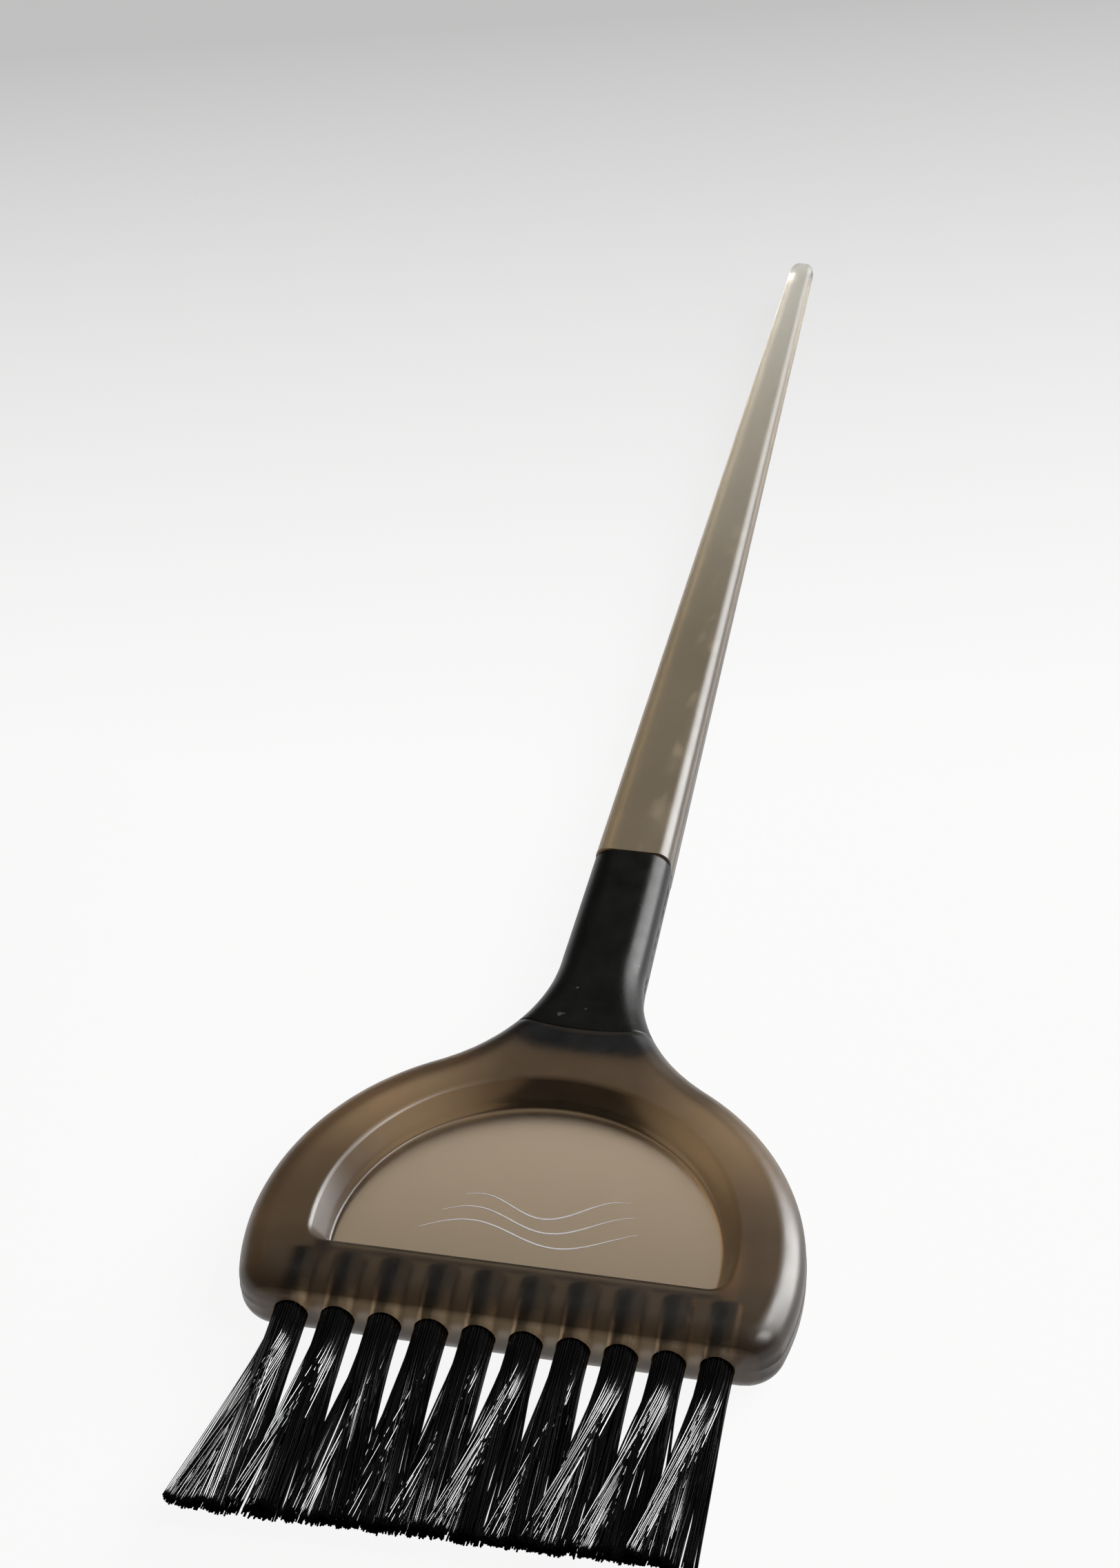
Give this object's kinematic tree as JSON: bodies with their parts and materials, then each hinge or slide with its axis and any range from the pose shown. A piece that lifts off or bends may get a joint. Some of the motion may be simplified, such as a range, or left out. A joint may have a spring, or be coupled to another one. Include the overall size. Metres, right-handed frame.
{
  "type": "tint brush",
  "caption": "Wide tint brush for applying hair colour, with a D-shaped translucent head, a row of bristle tufts, a soft grip sleeve and a long tapered tail.",
  "frame": {"origin": "bottom centre of the whole brush, which lies on the flat back of its head", "axes": "+Z is the front face's normal, +Y runs from the bristle tips to the tail's tip, and +X runs along the bristle row"},
  "size_m": [0.0624, 0.233, 0.0084],
  "materials": {
    "smoke_plastic": "smoke-brown translucent moulding, frosted, with a soft sheen on its rounded edges",
    "soft_touch_black": "black soft-touch overmould, satin",
    "nylon_black": "fine glossy black nylon filament",
    "anchor_metal": "plain flat anchor wire"
  },
  "bodies": {
    "handle_body": {"handle": "smoke_plastic", "grip_sleeve": "soft_touch_black", "tuft_root_01": "nylon_black", "tuft_root_02": "nylon_black", "tuft_root_03": "nylon_black", "tuft_root_04": "nylon_black", "tuft_root_05": "nylon_black", "tuft_root_06": "nylon_black", "tuft_root_07": "nylon_black", "tuft_root_08": "nylon_black", "tuft_root_09": "nylon_black", "tuft_root_10": "nylon_black", "anchor_01": "anchor_metal", "anchor_02": "anchor_metal", "anchor_03": "anchor_metal", "anchor_04": "anchor_metal", "anchor_05": "anchor_metal", "anchor_06": "anchor_metal", "anchor_07": "anchor_metal", "anchor_08": "anchor_metal", "anchor_09": "anchor_metal", "anchor_10": "anchor_metal"},
    "bristles_01": {"tuft_01": "nylon_black"},
    "bristles_02": {"tuft_02": "nylon_black"},
    "bristles_03": {"tuft_03": "nylon_black"},
    "bristles_04": {"tuft_04": "nylon_black"},
    "bristles_05": {"tuft_05": "nylon_black"},
    "bristles_06": {"tuft_06": "nylon_black"},
    "bristles_07": {"tuft_07": "nylon_black"},
    "bristles_08": {"tuft_08": "nylon_black"},
    "bristles_09": {"tuft_09": "nylon_black"},
    "bristles_10": {"tuft_10": "nylon_black"}
  },
  "joints": [
    {"name": "flex_01", "type": "hinge", "parent": "handle_body", "child": "bristles_01", "pos_m": [-0.02363, -0.0917, 0.0042], "axis": [1, 0, 0], "range_deg": [-30, 30], "stiffness_Nm_per_rad": 0.004},
    {"name": "flex_02", "type": "hinge", "parent": "handle_body", "child": "bristles_02", "pos_m": [-0.01837, -0.0917, 0.0042], "axis": [1, 0, 0], "range_deg": [-30, 30], "stiffness_Nm_per_rad": 0.004},
    {"name": "flex_03", "type": "hinge", "parent": "handle_body", "child": "bristles_03", "pos_m": [-0.01312, -0.0917, 0.0042], "axis": [1, 0, 0], "range_deg": [-30, 30], "stiffness_Nm_per_rad": 0.004},
    {"name": "flex_04", "type": "hinge", "parent": "handle_body", "child": "bristles_04", "pos_m": [-0.00788, -0.0917, 0.0042], "axis": [1, 0, 0], "range_deg": [-30, 30], "stiffness_Nm_per_rad": 0.004},
    {"name": "flex_05", "type": "hinge", "parent": "handle_body", "child": "bristles_05", "pos_m": [-0.00263, -0.0917, 0.0042], "axis": [1, 0, 0], "range_deg": [-30, 30], "stiffness_Nm_per_rad": 0.004},
    {"name": "flex_06", "type": "hinge", "parent": "handle_body", "child": "bristles_06", "pos_m": [0.00263, -0.0917, 0.0042], "axis": [1, 0, 0], "range_deg": [-30, 30], "stiffness_Nm_per_rad": 0.004},
    {"name": "flex_07", "type": "hinge", "parent": "handle_body", "child": "bristles_07", "pos_m": [0.00788, -0.0917, 0.0042], "axis": [1, 0, 0], "range_deg": [-30, 30], "stiffness_Nm_per_rad": 0.004},
    {"name": "flex_08", "type": "hinge", "parent": "handle_body", "child": "bristles_08", "pos_m": [0.01312, -0.0917, 0.0042], "axis": [1, 0, 0], "range_deg": [-30, 30], "stiffness_Nm_per_rad": 0.004},
    {"name": "flex_09", "type": "hinge", "parent": "handle_body", "child": "bristles_09", "pos_m": [0.01837, -0.0917, 0.0042], "axis": [1, 0, 0], "range_deg": [-30, 30], "stiffness_Nm_per_rad": 0.004},
    {"name": "flex_10", "type": "hinge", "parent": "handle_body", "child": "bristles_10", "pos_m": [0.02363, -0.0917, 0.0042], "axis": [1, 0, 0], "range_deg": [-30, 30], "stiffness_Nm_per_rad": 0.004}
  ]
}
